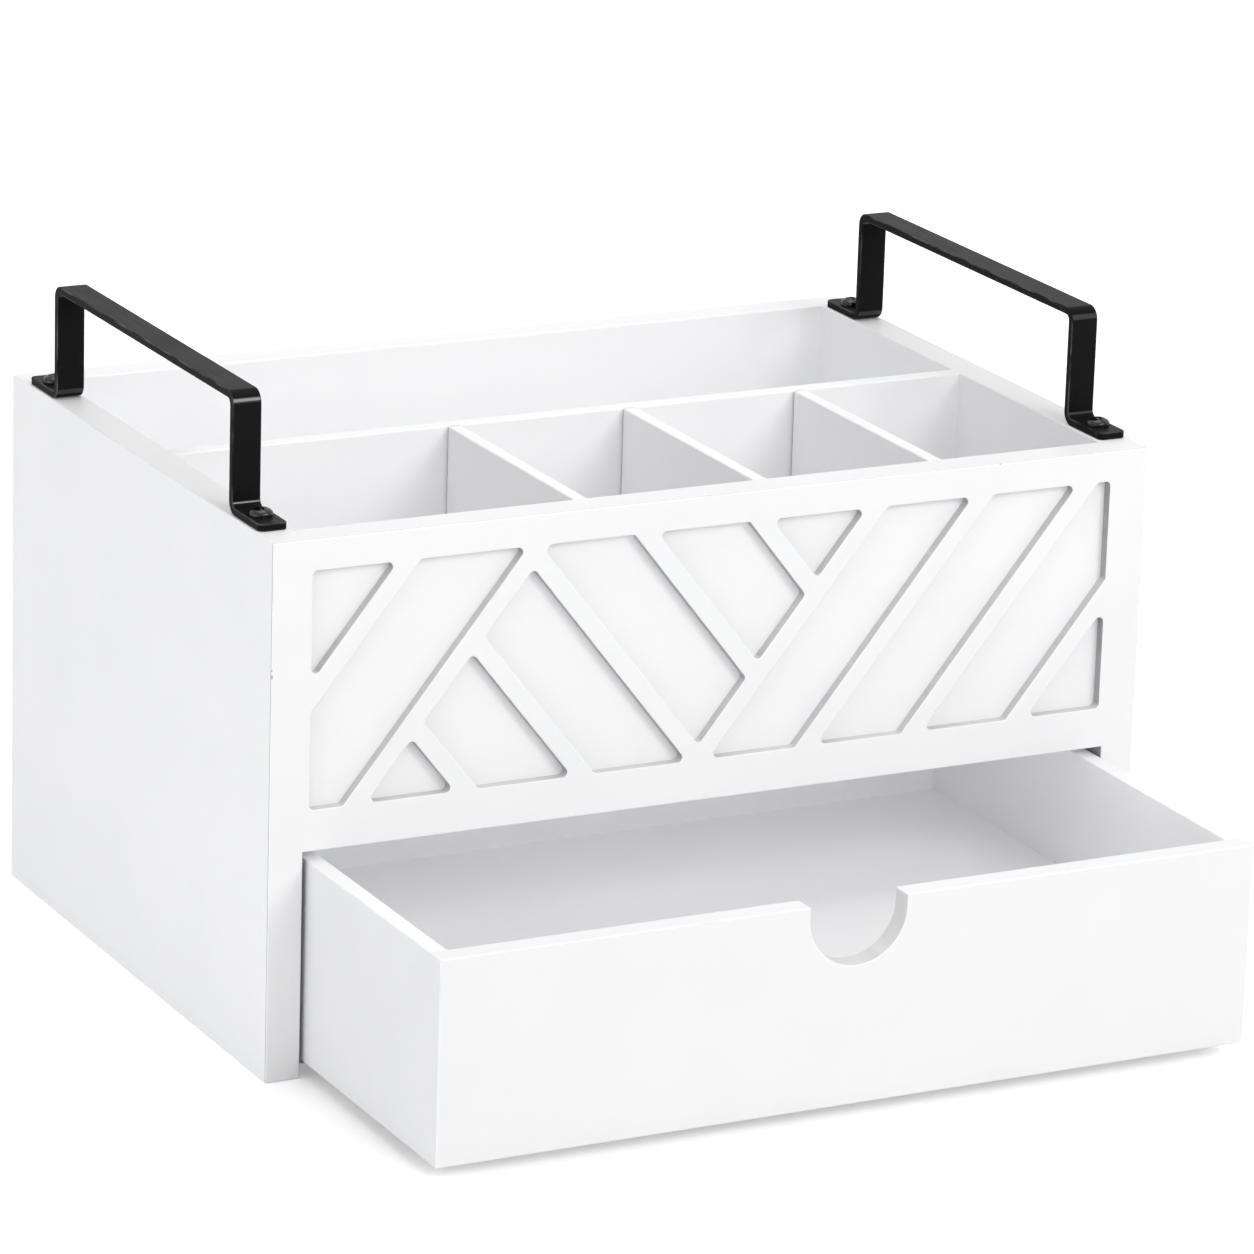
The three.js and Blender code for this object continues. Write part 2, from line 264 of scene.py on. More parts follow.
ORANGE_PEEL = (620, 3)
MATT_PATCHES = (24, 4)
PATCH_RANGE = (0.35, 0.7)
DUST_CELLS = 90
DUST_RANGE = (0.012, 0.03)
RUB_MARKS = (60, 4)
RUBBED_RANGE = (0.45, 0.75)
WALL_SHADE_SPOTS = (150, 3)
LEAST_WALL_SHADE = 0.8
SPREAD_OF_WALL_SHADE = 0.4
print("one feature of the peel is", round(MM / ORANGE_PEEL[0], 1), "mm wide")

# %% [markdown]
# ## Mix the paint
#
# The colours are laid over each other: paint and its matt patches, rubbed paint, a grey that is
# painted shade on walls, a tenth or so of black as painted shade on faces turned to the lamps,
# and bare board last, in the chips and as painted shade in the gaps. Four face attributes say
# where: `arris` on the eased edges, `routed` on walls that get the painted shade, one on faces
# dimmed by painted shade, and one on hidden faces painted dark as shade in the gaps. They are
# made with the boards, further down.
#
# Each kind of face could have a material of its own. Attributes are better here, because noise can
# soften them and one mixture serves every board. Only the drawer's floor differs: it is a thin,
# smooth panel with more gloss, and its brighter white is painted light, which stands in for the
# light that doesn't reach into the drawer.

# %% Mix the white paint
PAINT_MARKS = ("arris", "routed", "painted_dimming", "bare")
SATIN_ROUGHNESS = 0.4
PANEL_ROUGHNESS = 0.26
ROUGHER_IN_PATCHES = 0.14
ROUGHER_WHERE_RUBBED = 0.12
ROUGHER_ON_SHADED_WALLS = 0.15
ROUGHER_IN_CHIPS = 0.3
PEEL_RISE = 0.5
DUST_RISE = 0.6
CHIP_DROP = 6
PAINT_RELIEF = 0.00002
PAINT_SPECULAR = 0.4


def white_paint(name, fresh, matt, roughness):
    """A material between two whites, with the roughness that it has where it shines most."""
    finish = Finish(bpy.data.materials.new(name))
    place = finish.place()
    arris, routed, painted_dimming, bare = [finish.attribute(mark) for mark in PAINT_MARKS]

    peel = finish.noise(place, *ORANGE_PEEL)
    patches = finish.noise(place, *MATT_PATCHES)
    sockets = {"Vector": place, "Scale": DUST_CELLS}
    cells = finish.node("ShaderNodeTexVoronoi", None, sockets, "Distance")
    dust = 1 - finish.step(cells, *DUST_RANGE)
    rubbed = finish.step(finish.noise(place, *RUB_MARKS), *RUBBED_RANGE) * arris
    # Painted shade on the walls, a little uneven; the same mask makes them rougher.
    wall_shade = routed * (LEAST_WALL_SHADE + SPREAD_OF_WALL_SHADE * finish.noise(place, *WALL_SHADE_SPOTS))
    chips = chip_mask(finish, place)

    colour = finish.blend(fresh, matt, finish.step(patches, *PATCH_RANGE))
    colour = finish.blend(colour, RUBBED_PAINT, rubbed)
    colour = finish.blend(colour, WALL_SHADE_GREY, wall_shade)
    # A little black as painted shade, so faces turned to the lamps don't outshine the rest.
    colour = finish.blend(colour, DIMMING_BLACK, painted_dimming)
    # Bare board in the chips, and painted shade on hidden faces in the gaps.
    colour = finish.blend(colour, BARE_BOARD_AND_GAP_SHADE, chips.at_least(bare))
    height = peel * PEEL_RISE + dust * DUST_RISE - chips * CHIP_DROP
    roughness = roughness + patches * ROUGHER_IN_PATCHES + rubbed * ROUGHER_WHERE_RUBBED
    roughness = roughness + wall_shade * ROUGHER_ON_SHADED_WALLS + chips * ROUGHER_IN_CHIPS

    finish.feed(finish.tree.nodes["Principled BSDF"], {
        "Base Color": colour,
        "Roughness": roughness,
        "Normal": finish.bump(height, PAINT_RELIEF),
        "Specular IOR Level": PAINT_SPECULAR,
    })
    return finish.owner


paint = white_paint("satin_white_paint", PAINT, MATT_PAINT, SATIN_ROUGHNESS)
lit_panel_paint = white_paint("smooth_lit_white_panel", LIT_PANEL, LIT_MATT_PANEL, PANEL_ROUGHNESS)
print(paint.name, "has", len(paint.node_tree.nodes), "nodes")

# %% [markdown]
# ## Black powder coat
#
# The handles are bent flat bar under a black powder coat. The coat has a fine peel of its own, and
# the rolling marks of the bar show through it as faint streaks along the bar. The strip's width
# runs along X everywhere, so noise that is fine along X and long along Y and Z follows each bend.
# On the bends the coat was pulled smooth, so a clear gloss lies over it there. The face attribute
# `bend` says where, and it is what catches the lamp in a thin bright line.

# %% Powder coat
COAT = (0.0085, 0.0085, 0.0088, 1)
# A lighter grey on the eased edges: partly wear, partly a painted highlight for edge glints.
WORN_COAT_AND_GLINT = (0.1, 0.1, 0.103, 1)
ALONG_THE_BAR = (1, 0.03, 0.03)
BAR_STREAKS = (900, 3)
COAT_PEEL = (1500, 2)
COAT_CLOUDS = (45, 3)
COAT_WEAR_AND_GLINT = (90, 4)
WORN_AND_GLINT_RANGE = (0.35, 0.7)
COAT_ROUGHNESS = 0.2
ROUGHER_IN_STREAKS = 0.14
ROUGHER_IN_CLOUDS = 0.14
COAT_PEEL_RISE = 0.5
STREAK_RISE = 0.6
COAT_RELIEF = 0.000012
GLOSS_ROUGHNESS = 0.08
COAT_SPECULAR = 0.03


def powder_coat(name):
    """Black with a fine peel, streaks along the bar and gloss on its bends."""
    finish = Finish(bpy.data.materials.new(name))
    place = finish.place()
    arris = finish.attribute("arris")
    bend = finish.attribute("bend")
    streaks = finish.noise(finish.stretched(place, ALONG_THE_BAR), *BAR_STREAKS)
    peel = finish.noise(place, *COAT_PEEL)
    cloudy = finish.noise(place, *COAT_CLOUDS)
    # Wear on the eased edges, lightened further as a painted highlight.
    worn_and_glint = finish.step(finish.noise(place, *COAT_WEAR_AND_GLINT), *WORN_AND_GLINT_RANGE) * arris
    height = peel * COAT_PEEL_RISE + streaks * STREAK_RISE

    finish.feed(finish.tree.nodes["Principled BSDF"], {
        "Base Color": finish.blend(COAT, WORN_COAT_AND_GLINT, worn_and_glint),
        "Roughness": COAT_ROUGHNESS + streaks * ROUGHER_IN_STREAKS + cloudy * ROUGHER_IN_CLOUDS,
        "Normal": finish.bump(height, COAT_RELIEF),
        "Coat Weight": bend,
        "Coat Roughness": GLOSS_ROUGHNESS,
        "Specular IOR Level": COAT_SPECULAR,
    })
    return finish.owner


coat = powder_coat("black_powder_coat")
print(coat.name, "has", len(coat.node_tree.nodes), "nodes")

# %% [markdown]
# ## Blackened screws
#
# The screws are blackened in a bath, which leaves thin, hard and shiny metal, so they are glossier
# than the handles. A driver leaves light scuffs on the head. Two noises are enough for that: one
# brightens and roughens where it is high, and a finer one pits the surface.

# %% Screw finish
SCREW_BLACK = (0.003, 0.003, 0.0033, 1)
SCREW_RUBBED = (0.05, 0.05, 0.052, 1)
SCREW_SCUFFS = (700, 4)
SCREW_PITS = (2600, 2)
SCUFFED_RANGE = (0.62, 0.8)
SCREW_ROUGHNESS = 0.08
ROUGHER_WHERE_SCUFFED = 0.12
SCREW_RELIEF = 0.000008
SCREW_SPECULAR = 0.5


def screw_finish(name):
    """Glossy black with fine pits and light scuffs."""
    finish = Finish(bpy.data.materials.new(name))
    place = finish.place()
    scuffs = finish.noise(place, *SCREW_SCUFFS)
    pits = finish.noise(place, *SCREW_PITS)
    scuffed = finish.step(scuffs, *SCUFFED_RANGE)

    finish.feed(finish.tree.nodes["Principled BSDF"], {
        "Base Color": finish.blend(SCREW_BLACK, SCREW_RUBBED, scuffed),
        "Roughness": SCREW_ROUGHNESS + scuffs * ROUGHER_WHERE_SCUFFED,
        "Normal": finish.bump(pits, SCREW_RELIEF),
        "Specular IOR Level": SCREW_SPECULAR,
    })
    return finish.owner


blackening = screw_finish("blackened_screw")
print(blackening.name, "has", len(blackening.node_tree.nodes), "nodes")

# %% [markdown]
# ## Copy the boards
#
# A solid arrives as loose triangles. Before its edges can be rounded, the triangles have to share
# their corners, and those that lie in one plane have to become one face. So each board here starts
# as a merged copy of its solid. A search tree of every board is kept as well, to ask later on
# whether a point lies inside a neighbour.

# %% Copy a solid and merge it
SAME_PLACE = 1e-6
SAME_PLANE = radians(0.5)


def merged_copy(node):
    """The node's loose triangles as one closed shape with large flat faces."""
    shape = bmesh.new()
    shape.from_mesh(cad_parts[node].data)
    bmesh.ops.remove_doubles(shape, verts=shape.verts, dist=SAME_PLACE)
    bmesh.ops.dissolve_limit(
        shape, angle_limit=SAME_PLANE, verts=shape.verts, edges=shape.edges
    )
    return shape


CABINET_BOARDS = [
    "front_board", "left_side_panel", "right_side_panel", "back_panel", "base_panel",
    "tray_floor", "long_divider", "left_cross_divider", "middle_cross_divider",
    "right_cross_divider",
]
DRAWER_BOARDS = [
    "drawer_front", "drawer_left_side", "drawer_right_side", "drawer_back", "drawer_floor",
]

boxes = {node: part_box(node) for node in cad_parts}
skins = {}
for board in CABINET_BOARDS + DRAWER_BOARDS:
    copy = merged_copy(board)
    skins[board] = BVHTree.FromBMesh(copy)
    copy.free()
print("boards to dress:", len(skins))

# %% [markdown]
# ## Cut where boards meet
#
# Where a board stands against another, only the free part of its edge is eased. So a board's
# faces are first cut wherever a neighbour's box starts or ends, which gives each edge a vertex
# there. Boolean tools could find the exact contact, but for square boards the sides of the boxes
# are enough. The lattice is left whole, because cuts through its pockets would only make slivers.

# %% Cut a board at its neighbours
X, Y, Z = range(3)
PROBE = 0.0003
PLACE_DIGITS = 5
LATTICE_DEPTH = 0.005


def with_rims(faces):
    """The faces with their edges and corners, each once and always in the same order."""
    edges = dict.fromkeys(edge for face in faces for edge in face.edges)
    verts = dict.fromkeys(vert for face in faces for vert in face.verts)
    return [*verts, *edges, *faces]


def places_to_cut(board, neighbours):
    """Where a neighbour's box starts or ends, as pairs of an axis and a place along it."""
    low, high = boxes[board]
    places = {
        (axis, round(corner[axis], PLACE_DIGITS))
        for other in neighbours for corner in boxes[other] for axis in (X, Y, Z)
    }
    return [
        (axis, place) for axis, place in sorted(places)
        if low[axis] + PROBE < place < high[axis] - PROBE
    ]


def cut_at_neighbours(shape, board, neighbours):
    """Cuts the faces at those places, except for the lattice of the front board."""
    behind_lattice = boxes["front_board"][0].y + LATTICE_DEPTH
    for axis, place in places_to_cut(board, neighbours):
        normal = Vector((0, 0, 0))
        normal[axis] = 1
        faces = [
            face for face in shape.faces
            if board != "front_board" or face.calc_center_median().y > behind_lattice
        ]
        bmesh.ops.bisect_plane(
            shape, geom=with_rims(faces), plane_co=normal * place, plane_no=normal,
            dist=SAME_PLACE,
        )


print("a cut keeps", PROBE * MM, "mm from a board's own sides")

# %% [markdown]
# ## Ease the free edges
#
# A board fresh from the saw has edges that light never catches. On the real box they are rubbed
# with sandpaper before painting, about half a millimetre, and that thin band is what makes an edge
# shine. Where two boards meet flush, the sandpaper runs over both and the joint stays closed. That
# is why an edge is bevelled only if it is sharp, stands out and has air on both its faces.

# %% Find the edges and ease them
SHARP = radians(50)
EASE_STEPS = 3
ROUND_PROFILE = 0.5


def is_open(point, neighbours):
    """True if the point is outside all the neighbours."""
    for other in neighbours:
        near, normal, _, distance = skins[other].find_nearest(point)
        if distance < PROBE / 2 or (point - near).dot(normal) < 0:
            return False
    return True


def stands_free(edge, neighbours):
    """True for a sharp outward edge with air on both its faces."""
    if len(edge.link_faces) != 2 or not edge.is_convex:
        return False
    if edge.calc_face_angle() < SHARP:
        return False
    middle = (edge.verts[0].co + edge.verts[1].co) / 2
    first, second = (face.normal * PROBE for face in edge.link_faces)
    return is_open(middle + first - second, neighbours) and is_open(
        middle + second - first, neighbours
    )


def ease(shape, edges, width, arris):
    """Rounds the edges, and gives the new faces 1 in the attribute."""
    eased = bmesh.ops.bevel(
        shape, geom=edges, offset=width, affect="EDGES", segments=EASE_STEPS,
        profile=ROUND_PROFILE, material=-1, clamp_overlap=False,
    )
    for face in eased["faces"]:
        face[arris] = 1


print("an edge is sharp above", round(degrees(SHARP)), "degrees")

# %% [markdown]
# ## From shape to piece
#
# A worked shape becomes an object, gets its finish, and takes the place of its solid, so that it
# moves with the same body. Flat faces must shade flat and rounds must shade round. For that every
# face is smooth, but an edge between an eased band and a flat face is kept sharp, or the round's
# shading would leak over the board. The Weighted Normal modifier then evens out what is left.

# %% Turn a shape into a finished piece
GENTLE_ON_ROUND = radians(40)
GENTLE_ON_FACE = radians(26)


def is_smooth(edge, arris):
    """Smooth across gentle bends and along an eased edge, so that flat faces shade flat."""
    if len(edge.link_faces) != 2:
        return False
    first, second = (face[arris] > 0 for face in edge.link_faces)
    gentle = GENTLE_ON_ROUND if first else GENTLE_ON_FACE
    return first == second and edge.calc_face_angle() < gentle


def finish_piece(name, shape, body, finish, node):
    """Makes the object and puts it in the node's place."""
    layers = shape.faces.layers.float
    arris = layers.get("arris") or layers.new("arris")
    for face in shape.faces:
        face.smooth = True
    for edge in shape.edges:
        edge.smooth = is_smooth(edge, arris)
    mesh = bpy.data.meshes.new(name)
    shape.to_mesh(mesh)
    shape.free()
    if "custom_normal" in mesh.attributes:
        mesh.attributes.remove(mesh.attributes["custom_normal"])
    mesh.materials.clear()
    mesh.materials.append(finish)
    piece = bpy.data.objects.new(name, mesh)
    scene.collection.objects.link(piece)
    flatten = piece.modifiers.new("even_shading", "WEIGHTED_NORMAL")
    flatten.keep_sharp = True
    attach(piece, body)
    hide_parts(node)


print("pieces to make:", len(boxes))

# %% [markdown]
# ## Painted shade on walls
#
# The steep walls of the routed pockets, the sides of the drawer's opening and the sawn finger
# notch are given a grey, which is painted shade, lighter on walls that look up. Painting that
# by hand would need an unwrapped image. A number on the faces does it without one: it is chosen by
# where a face lies and which way it looks.

# %% Routed and sawn walls
ROUTED_DEPTH = 0.004
WALL_TILT = 0.3
SQUARE_ON = 0.9
SIDE_MARGIN = 0.002
SHADE_ON_WALLS = 0.85
LESS_SHADE_FACING_UP = 0.5
NOTCH_SHADE = 0.35


def is_wall(face):
    """True for a face that runs into a board and doesn't lie along its front."""
    return abs(face.normal.y) < WALL_TILT


def mark_routed_walls(shape, routed):
    """High on the walls of the lattice's pockets, less on walls that look up: painted shade."""
    bottom = boxes["front_board"][0].y + ROUTED_DEPTH
    for face in shape.faces:
        if is_wall(face) and face.calc_center_median().y < bottom:
            face[routed] = SHADE_ON_WALLS - LESS_SHADE_FACING_UP * max(face.normal.z, 0)


def mark_shaded_cuts(shape, routed, board):
    """The drawer's opening and its finger notch are sawn; their walls get painted shade too."""
    low, high = boxes[board]
    opening = boxes["tray_floor"][0].z
    for face in shape.faces:
        middle = face.calc_center_median()
        if not is_wall(face) or not low.x + SIDE_MARGIN < middle.x < high.x - SIDE_MARGIN:
            continue
        if board == "front_board" and middle.z < opening and abs(face.normal.x) > SQUARE_ON:
            face[routed] = 1
        if board == "drawer_front" and low.z + SIDE_MARGIN < middle.z < high.z - SIDE_MARGIN:
            face[routed] = NOTCH_SHADE


print("walls down to", ROUTED_DEPTH * MM, "mm behind the front count as routed")

# %% [markdown]
# ## Painted shade on faces and in gaps
#
# The fronts and the drawer's outside get a little black as painted shade, so that faces turned
# to the lamps don't outshine the compartments. Beside the drawer, and on the rear ends of the
# cross dividers, the board is hardly seen, and it is painted dark as shade in the gaps. The tone
# is set by face and not by board, because a board of another tone would show a seam at each
# corner.

# %% Mark painted shade on faces and in gaps
DIMMED_FRONTS = {"front_board": (0.085, 0.06), "drawer_front": (0.12, 0.08)}
DIMMED_SIDES = 0.09
LOOKS_SIDEWAYS = 0.5


def lies_at(face, axis, place):
    """True if the whole face lies at the place along the axis."""
    return all(abs(vert.co[axis] - place) < SAME_PLACE for vert in face.verts)


def mark_dimmed_fronts(shape, painted_dimming, board):
    """How much painted shade darkens a front, on its outer face and on the rest."""
    front = boxes[board][0].y
    outside, elsewhere = DIMMED_FRONTS[board]
    for face in shape.faces:
        if lies_at(face, Y, front):
            face[painted_dimming] = outside
        elif abs(face.normal.x) < LOOKS_SIDEWAYS:
            face[painted_dimming] = elsewhere


def mark_dimmed_sides(shape, painted_dimming):
    """The same for the outer faces of the drawer's sides and the ends of its front."""
    left, right = (corner.x for corner in boxes["drawer_front"])
    for face in shape.faces:
        if lies_at(face, X, left) or lies_at(face, X, right):
            face[painted_dimming] = DIMMED_SIDES


def mark_bare_insides(shape, bare, board):
    """1 on a side panel's inner faces beside the drawer: painted shade in the gap."""
    inward = 1 if board.startswith("left") else -1
    opening = boxes["tray_floor"][0].z
    for face in shape.faces:
        if face.normal.x * inward > SQUARE_ON and face.calc_center_median().z < opening:
            face[bare] = 1


def mark_bare_end(shape, bare):
    """1 on a cross divider's rear end: painted shade in the joint."""
    for face in shape.faces:
        if face.normal.y > SQUARE_ON:
            face[bare] = 1


# The fronts listed are darkened by painted shade.
print("fronts in a duller white:", list(DIMMED_FRONTS))

# %% [markdown]
# ## Play behind a divider
#
# A cross divider is pushed in from above, so it is cut a hair short and doesn't touch the long
# one. The gap shows as a fine dark line down the joint, which no paint could give in every light.

# %% Leave play behind a divider
LOOSE_FIT = 0.0006


def leave_play(shape, board):
    """Pulls a cross divider's rear end forward."""
    rear = boxes[board][1].y
    for vert in shape.verts:
        if abs(vert.co.y - rear) < SAME_PLACE:
            vert.co.y -= LOOSE_FIT


print("play behind a cross divider:", LOOSE_FIT * MM, "mm")

# %% [markdown]
# ## Mend faces with holes
#
# Where a large flat face has holes, a bevel can fold the thin parts between them. So such a face
# is taken out after the bevel and filled again from its rim, which leaves the holes open.


# %% Fill a flat face again
def fill_again(shape, axis, place, direction):
    """Replaces the flat faces at the place by new ones that look in the direction."""
    flat = [face for face in shape.faces if lies_at(face, axis, place)]
    bmesh.ops.delete(shape, geom=flat, context="FACES_ONLY")
    loose = [edge for edge in shape.edges if not edge.link_faces]
    bmesh.ops.delete(shape, geom=loose, context="EDGES")
    rim = [edge for edge in shape.edges if len(edge.link_faces) == 1]
    normal = Vector((0, 0, 0))
    normal[axis] = direction
    bmesh.ops.triangle_fill(shape, edges=rim, use_beauty=True, normal=normal)
    print("filled again:", len(flat), "faces with a rim of", len(rim), "edges")


# %% [markdown]
# ## Dress the boards
#
# Now the pieces come together. Each board is copied, cut where its neighbours meet it, eased,
# marked for the paint and put in the place of its solid. The cabinet's boards are eased a little
# more than the drawer's, which are thinner.

# %% Dress one board
CABINET_EASE = 0.0005
DRAWER_EASE = 0.0004


def mend_and_mark(shape, board, layers):
    """Fills the faces that have holes, and marks faces for the paint."""
    low, high = boxes[board]
    if board == "front_board":
        mark_routed_walls(shape, layers["routed"])
        fill_again(shape, Y, low.y, -1)
    if board.endswith("side_panel"):
        fill_again(shape, Z, high.z, 1)
        mark_bare_insides(shape, layers["bare"], board)
    if board.endswith("cross_divider"):
        mark_bare_end(shape, layers["bare"])
    if board in DIMMED_FRONTS:
        mark_dimmed_fronts(shape, layers["painted_dimming"], board)
        mark_shaded_cuts(shape, layers["routed"], board)
    if board in DRAWER_BOARDS:
        mark_dimmed_sides(shape, layers["painted_dimming"])


def dress_board(board, body, company, width):
    """Makes one board among the others of its body, with edges eased to the width."""
    loose = board.endswith("cross_divider")
    apart = (board, "long_divider") if loose else (board,)
    neighbours = [other for other in company if other not in apart]
    shape = merged_copy(board)
    layers = {mark: shape.faces.layers.float.new(mark) for mark in PAINT_MARKS}
    if loose:
        leave_play(shape, board)
    cut_at_neighbours(shape, board, neighbours)
    free = [edge for edge in shape.edges if stands_free(edge, neighbours)]
    ease(shape, free, width, layers["arris"])
    mend_and_mark(shape, board, layers)
    open_edges = sum(1 for edge in shape.edges if len(edge.link_faces) != 2)
    print(board, "eased edges:", len(free), "open edges:", open_edges)
    finish = lit_panel_paint if board == "drawer_floor" else paint
    finish_piece(f"painted_{board}", shape, body, finish, board)


for board in CABINET_BOARDS:
    dress_board(board, "cabinet", CABINET_BOARDS, CABINET_EASE)
for board in DRAWER_BOARDS:
    dress_board(board, "drawer", DRAWER_BOARDS, DRAWER_EASE)

# %% [markdown]
# ## Bent handles
#
# A handle is one length of flat bar that goes through a bender: flat foot, bend up, leg, bend
# over, bar, and the same again in reverse. Extrude and Spin do just that to the end face of a
# growing strip, so the bar keeps its thickness through every bend.

# %% Bend a strip
BEND_STEPS = 8


def extruded(shape, end, reach):
    """Pushes the end face along and returns it."""
    grown = bmesh.ops.extrude_face_region(shape, geom=[end, *end.edges, *end.verts])["geom"]
    verts = [part for part in grown if isinstance(part, bmesh.types.BMVert)]
    bmesh.ops.translate(shape, verts=verts, vec=reach)
    return next(part for part in grown if isinstance(part, bmesh.types.BMFace))


def bent(shape, end, centre, angle):
    """Turns the end face about a line along X and returns it."""
    turned = bmesh.ops.spin(
        shape, geom=[end, *end.edges, *end.verts], cent=centre, axis=(1, 0, 0), angle=angle,
        steps=BEND_STEPS,
    )
    return next(part for part in turned["geom_last"] if isinstance(part, bmesh.types.BMFace))


print("steps in each bend:", BEND_STEPS)

# %% [markdown]
# ## The strip, foot to foot
#
# The handle's box gives its length and height, and the sizes below give the rest. A spin turns
# about the middle of its bend. The feet bend up around a point above them, and the bar bends down
# around a point below it, so the second and third turns go the other way.

# %% Handle sizes
STRIP_THICKNESS = 0.0025
BEND_RADIUS = 0.002
FOOT_LENGTH = 0.022
QUARTER = pi / 2


def strip_end(shape, low, high):
    """The upright end face of the front foot, made from four vertices."""
    z_top = low.z + STRIP_THICKNESS
    places = [(low.x, low.z), (high.x, low.z), (high.x, z_top), (low.x, z_top)]
    corners = [
        bmesh.ops.create_vert(shape, co=(x, low.y, z))["vert"][0] for x, z in places
    ]
    return bmesh.ops.contextual_create(shape, geom=corners)["faces"][0]


def bent_strip(node):
    """The whole strip with square ends."""
    low, high = boxes[node]
    outer = BEND_RADIUS + STRIP_THICKNESS
    foot = FOOT_LENGTH - BEND_RADIUS
    leg = high.z - low.z - 2 * outer
    bar = high.y - low.y - 2 * FOOT_LENGTH - 2 * outer
    foot_turn = low.z + outer
    bar_turn = high.z - outer

    shape = bmesh.new()
    end = strip_end(shape, low, high)
    end = extruded(shape, end, (0, foot, 0))
    end = bent(shape, end, (0, low.y + foot, foot_turn), QUARTER)
    end = extruded(shape, end, (0, 0, leg))
    end = bent(shape, end, (0, low.y + FOOT_LENGTH + outer, bar_turn), -QUARTER)
    end = extruded(shape, end, (0, bar, 0))
    end = bent(shape, end, (0, high.y - FOOT_LENGTH - outer, bar_turn), -QUARTER)
    end = extruded(shape, end, (0, 0, -leg))
    end = bent(shape, end, (0, high.y - foot, foot_turn), QUARTER)
    extruded(shape, end, (0, foot, 0))
    bmesh.ops.remove_doubles(shape, verts=shape.verts, dist=SAME_PLACE)
    bmesh.ops.recalc_face_normals(shape, faces=shape.faces)
    return shape


print("a foot is", FOOT_LENGTH * MM, "mm long")

# %% [markdown]
# ## Round the ends
#
# Cut bar has square, sharp ends. They are rounded in plan so that they don't catch, and then all
# the long edges are eased a little, as a tumbler does before the coat. The order matters: the ends
# come first, so that the easing can run around them. The bends are marked last, for their gloss.

# %% Round the ends and ease the edges
END_ROUNDING = 0.002
END_STEPS = 6
STRIP_EASE = 0.00035
STRIP_SHARP = radians(60)
GLOSS_STARTS, GLOSS_STOPS = 0.2, 0.5


def is_end_corner(edge, low, high):
    """True for the upright edges at the two ends of the strip."""
    run = edge.verts[1].co - edge.verts[0].co
    from_end = min(abs(vert.co.y - end) for vert in edge.verts for end in (low.y, high.y))
    return abs(run.z) > SQUARE_ON * run.length and from_end < SAME_PLACE


def mark_bends(shape, arris):
    """1 on the band of each bend where the coat was pulled smooth."""
    bend = shape.faces.layers.float.new("bend")
    for face in shape.faces:
        if face[arris] == 0 and GLOSS_STARTS < abs(face.normal.z) < GLOSS_STOPS:
            face[bend] = 1


def bent_handle(side):
    """One handle, bent, rounded at its ends, eased and coated."""
    node = f"{side}_handle"
    shape = bent_strip(node)
    arris = shape.faces.layers.float.new("arris")
    corners = [edge for edge in shape.edges if is_end_corner(edge, *boxes[node])]
    bmesh.ops.bevel(
        shape, geom=corners, offset=END_ROUNDING, affect="EDGES", segments=END_STEPS,
        profile=ROUND_PROFILE, material=-1,
    )
    sharp = [edge for edge in shape.edges if edge.calc_face_angle() > STRIP_SHARP]
    ease(shape, sharp, STRIP_EASE, arris)
    mark_bends(shape, arris)
    print(node, "faces:", len(shape.faces), "rounded corners:", len(corners))
    finish_piece(f"bent_{node}", shape, "cabinet", coat, node)


for side in ("left", "right"):
    bent_handle(side)

# %% [markdown]
# ## Pan-head screws
#
# A screw is a turned piece, so half its outline is spun about its axis. The outline starts at the
# tip, runs up the shank, out under the head and over the dome.

# %% Screw sizes and outline
HEAD_RADIUS = 0.0038
HEAD_HEIGHT = 0.0028
HEAD_RIM = 0.0009
SHANK_RADIUS = 0.0015
TIP_LENGTH = 0.003
DOME_STEPS = 10
TURN_STEPS = 48


def screw_outline(low, seat):
    """Points of half the screw, as distance from the axis and height."""
    dome = []
    for step in range(DOME_STEPS + 1):
        angle = QUARTER * step / DOME_STEPS
        rise = HEAD_RIM + (HEAD_HEIGHT - HEAD_RIM) * sin(angle)
        dome.append((HEAD_RADIUS * cos(angle), seat + rise))
    shank = [(0, low), (SHANK_RADIUS, low + TIP_LENGTH), (SHANK_RADIUS, seat)]
    return [*shank, (HEAD_RADIUS, seat), *dome]


def turned_screw(node):
    """The screw before its recess is pressed, the middle of its box and the top of its head."""
    low, high = boxes[node]
    centre = (low + high) / 2
    outline = screw_outline(low.z, high.z - HEAD_HEIGHT)
    shape = bmesh.new()
    dots = [
        bmesh.ops.create_vert(shape, co=(centre.x + across, centre.y, up))["vert"][0]
        for across, up in outline
    ]
    edges = [
        bmesh.ops.contextual_create(shape, geom=pair)["edges"][0] for pair in zip(dots, dots[1:])
    ]
    bmesh.ops.spin(
        shape, geom=[*dots, *edges], cent=centre, axis=(0, 0, 1), angle=2 * pi, steps=TURN_STEPS,
        use_merge=True,
    )
    bmesh.ops.remove_doubles(shape, verts=shape.verts, dist=SAME_PLACE)
    bmesh.ops.recalc_face_normals(shape, faces=shape.faces)
    return shape, centre, high.z


print("a head is", 2 * HEAD_RADIUS * MM, "mm across")

# %% [markdown]
# ## Press the cross recess
#
# The recess is pressed into the head by a cross-shaped punch. The same is done here: the dome is
# cut along the sides of the cross, and the faces inside it are pushed down and drawn together,
# because a driver's tip is tapered. Cutting it out with a Boolean would leave slivers on the dome.

# %% Press a screw's recess
RECESS_HALF_LENGTH = 0.0021
RECESS_HALF_WIDTH = 0.00045
RECESS_DEPTH = 0.0015
RECESS_TAPER = 0.6
CUT_SNAP = 1e-5
LOOKS_UP = 0.1


